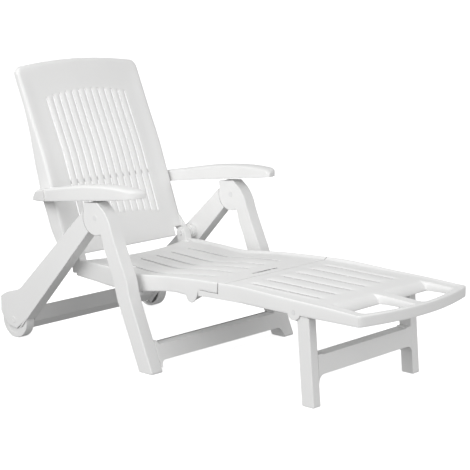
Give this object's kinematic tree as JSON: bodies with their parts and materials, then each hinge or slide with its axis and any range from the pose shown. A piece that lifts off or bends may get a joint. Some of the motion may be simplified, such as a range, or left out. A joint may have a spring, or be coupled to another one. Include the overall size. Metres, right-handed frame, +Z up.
{
  "type": "folding sun lounger",
  "caption": "Folding moulded-plastic sun lounger: slotted seat and footrest, ribbed reclining back, scissor legs, sliding armrests, two wheels at the head end and a folding foot frame.",
  "frame": {"origin": "on the floor at the centre of the footprint, in the pose it was pictured in: legs open, back fairly upright", "axes": "+Z up, +Y from the foot end towards the head end, +X across the width; the left pieces are on the -X side"},
  "size_m": [0.72, 1.596, 0.966],
  "materials": {
    "shell": "white moulded polypropylene with a light satin sheen",
    "wheel": "white moulded plastic, satin",
    "pin": "off-white moulded plastic, satin"
  },
  "bodies": {
    "rear_frame": {"rear_leg_left": "shell", "rear_leg_right": "shell", "rear_stretcher": "shell", "wheel_axle_left": "pin", "wheel_axle_right": "pin", "hinge_axle_left": "pin", "hinge_axle_right": "pin", "apex_pin_left": "pin", "apex_pin_right": "pin"},
    "wheel_left": {"wheel_left": "wheel"},
    "wheel_right": {"wheel_right": "wheel"},
    "front_frame": {"front_leg_left": "shell", "front_leg_right": "shell", "front_stretcher": "shell", "seat_rest_pin_left": "pin", "seat_rest_pin_right": "pin", "catch_pin_left": "pin", "catch_pin_right": "pin"},
    "seat": {"seat_panel": "shell"},
    "footrest": {"footrest_panel": "shell", "footrest_pin_left": "pin", "footrest_pin_right": "pin", "foot_leg_pin_left": "pin", "foot_leg_pin_right": "pin"},
    "foot_leg_frame": {"foot_leg_left": "shell", "foot_leg_right": "shell", "foot_stretcher": "shell"},
    "backrest": {"backrest_panel": "shell"},
    "arm_hub_left": {"arm_pin_left": "pin"},
    "arm_hub_right": {"arm_pin_right": "pin"},
    "armrest_left": {"armrest_left": "shell"},
    "armrest_right": {"armrest_right": "shell"}
  },
  "joints": [
    {"name": "wheel_left_spin", "type": "hinge", "parent": "rear_frame", "child": "wheel_left", "pos_m": [-0.3275, 0.728, 0.066], "axis": [1, 0, 0], "continuous": true},
    {"name": "wheel_right_spin", "type": "hinge", "parent": "rear_frame", "child": "wheel_right", "pos_m": [0.3275, 0.728, 0.066], "axis": [1, 0, 0], "continuous": true},
    {"name": "seat_fold", "type": "hinge", "parent": "rear_frame", "child": "seat", "pos_m": [0, 0.482, 0.327], "axis": [1, 0, 0], "range_deg": [-80, 0]},
    {"name": "front_frame_fold", "type": "hinge", "parent": "rear_frame", "child": "front_frame", "pos_m": [0, 0.287, 0.484], "axis": [1, 0, 0], "range_deg": [-1, 61]},
    {"name": "footrest_fold", "type": "hinge", "parent": "seat", "child": "footrest", "pos_m": [0, -0.076, 0.266], "axis": [1, 0, 0], "range_deg": [0, 95]},
    {"name": "foot_leg_fold", "type": "hinge", "parent": "footrest", "child": "foot_leg_frame", "pos_m": [0, -0.505, 0.285], "axis": [1, 0, 0], "range_deg": [0, 88]},
    {"name": "recline", "type": "hinge", "parent": "rear_frame", "child": "backrest", "pos_m": [0, 0.482, 0.327], "axis": [1, 0, 0], "range_deg": [-60, 0]},
    {"name": "arm_hub_left_turn", "type": "hinge", "parent": "backrest", "child": "arm_hub_left", "pos_m": [-0.305, 0.614, 0.516], "axis": [1, 0, 0], "range_deg": [-1, 34]},
    {"name": "armrest_left_lift", "type": "hinge", "parent": "arm_hub_left", "child": "armrest_left", "pos_m": [-0.305, 0.614, 0.516], "axis": [1, 0, 0], "range_deg": [-80, 0]},
    {"name": "arm_hub_right_turn", "type": "hinge", "parent": "backrest", "child": "arm_hub_right", "pos_m": [0.305, 0.614, 0.516], "axis": [1, 0, 0], "range_deg": [-1, 34]},
    {"name": "armrest_right_lift", "type": "hinge", "parent": "arm_hub_right", "child": "armrest_right", "pos_m": [0.305, 0.614, 0.516], "axis": [1, 0, 0], "range_deg": [-80, 0]}
  ],
  "couplings": [
    {"joint": "front_frame_fold", "follows": "seat_fold", "ratio": -0.74},
    {"joint": "arm_hub_left_turn", "follows": "recline", "ratio": -0.545},
    {"joint": "arm_hub_right_turn", "follows": "recline", "ratio": -0.545}
  ]
}
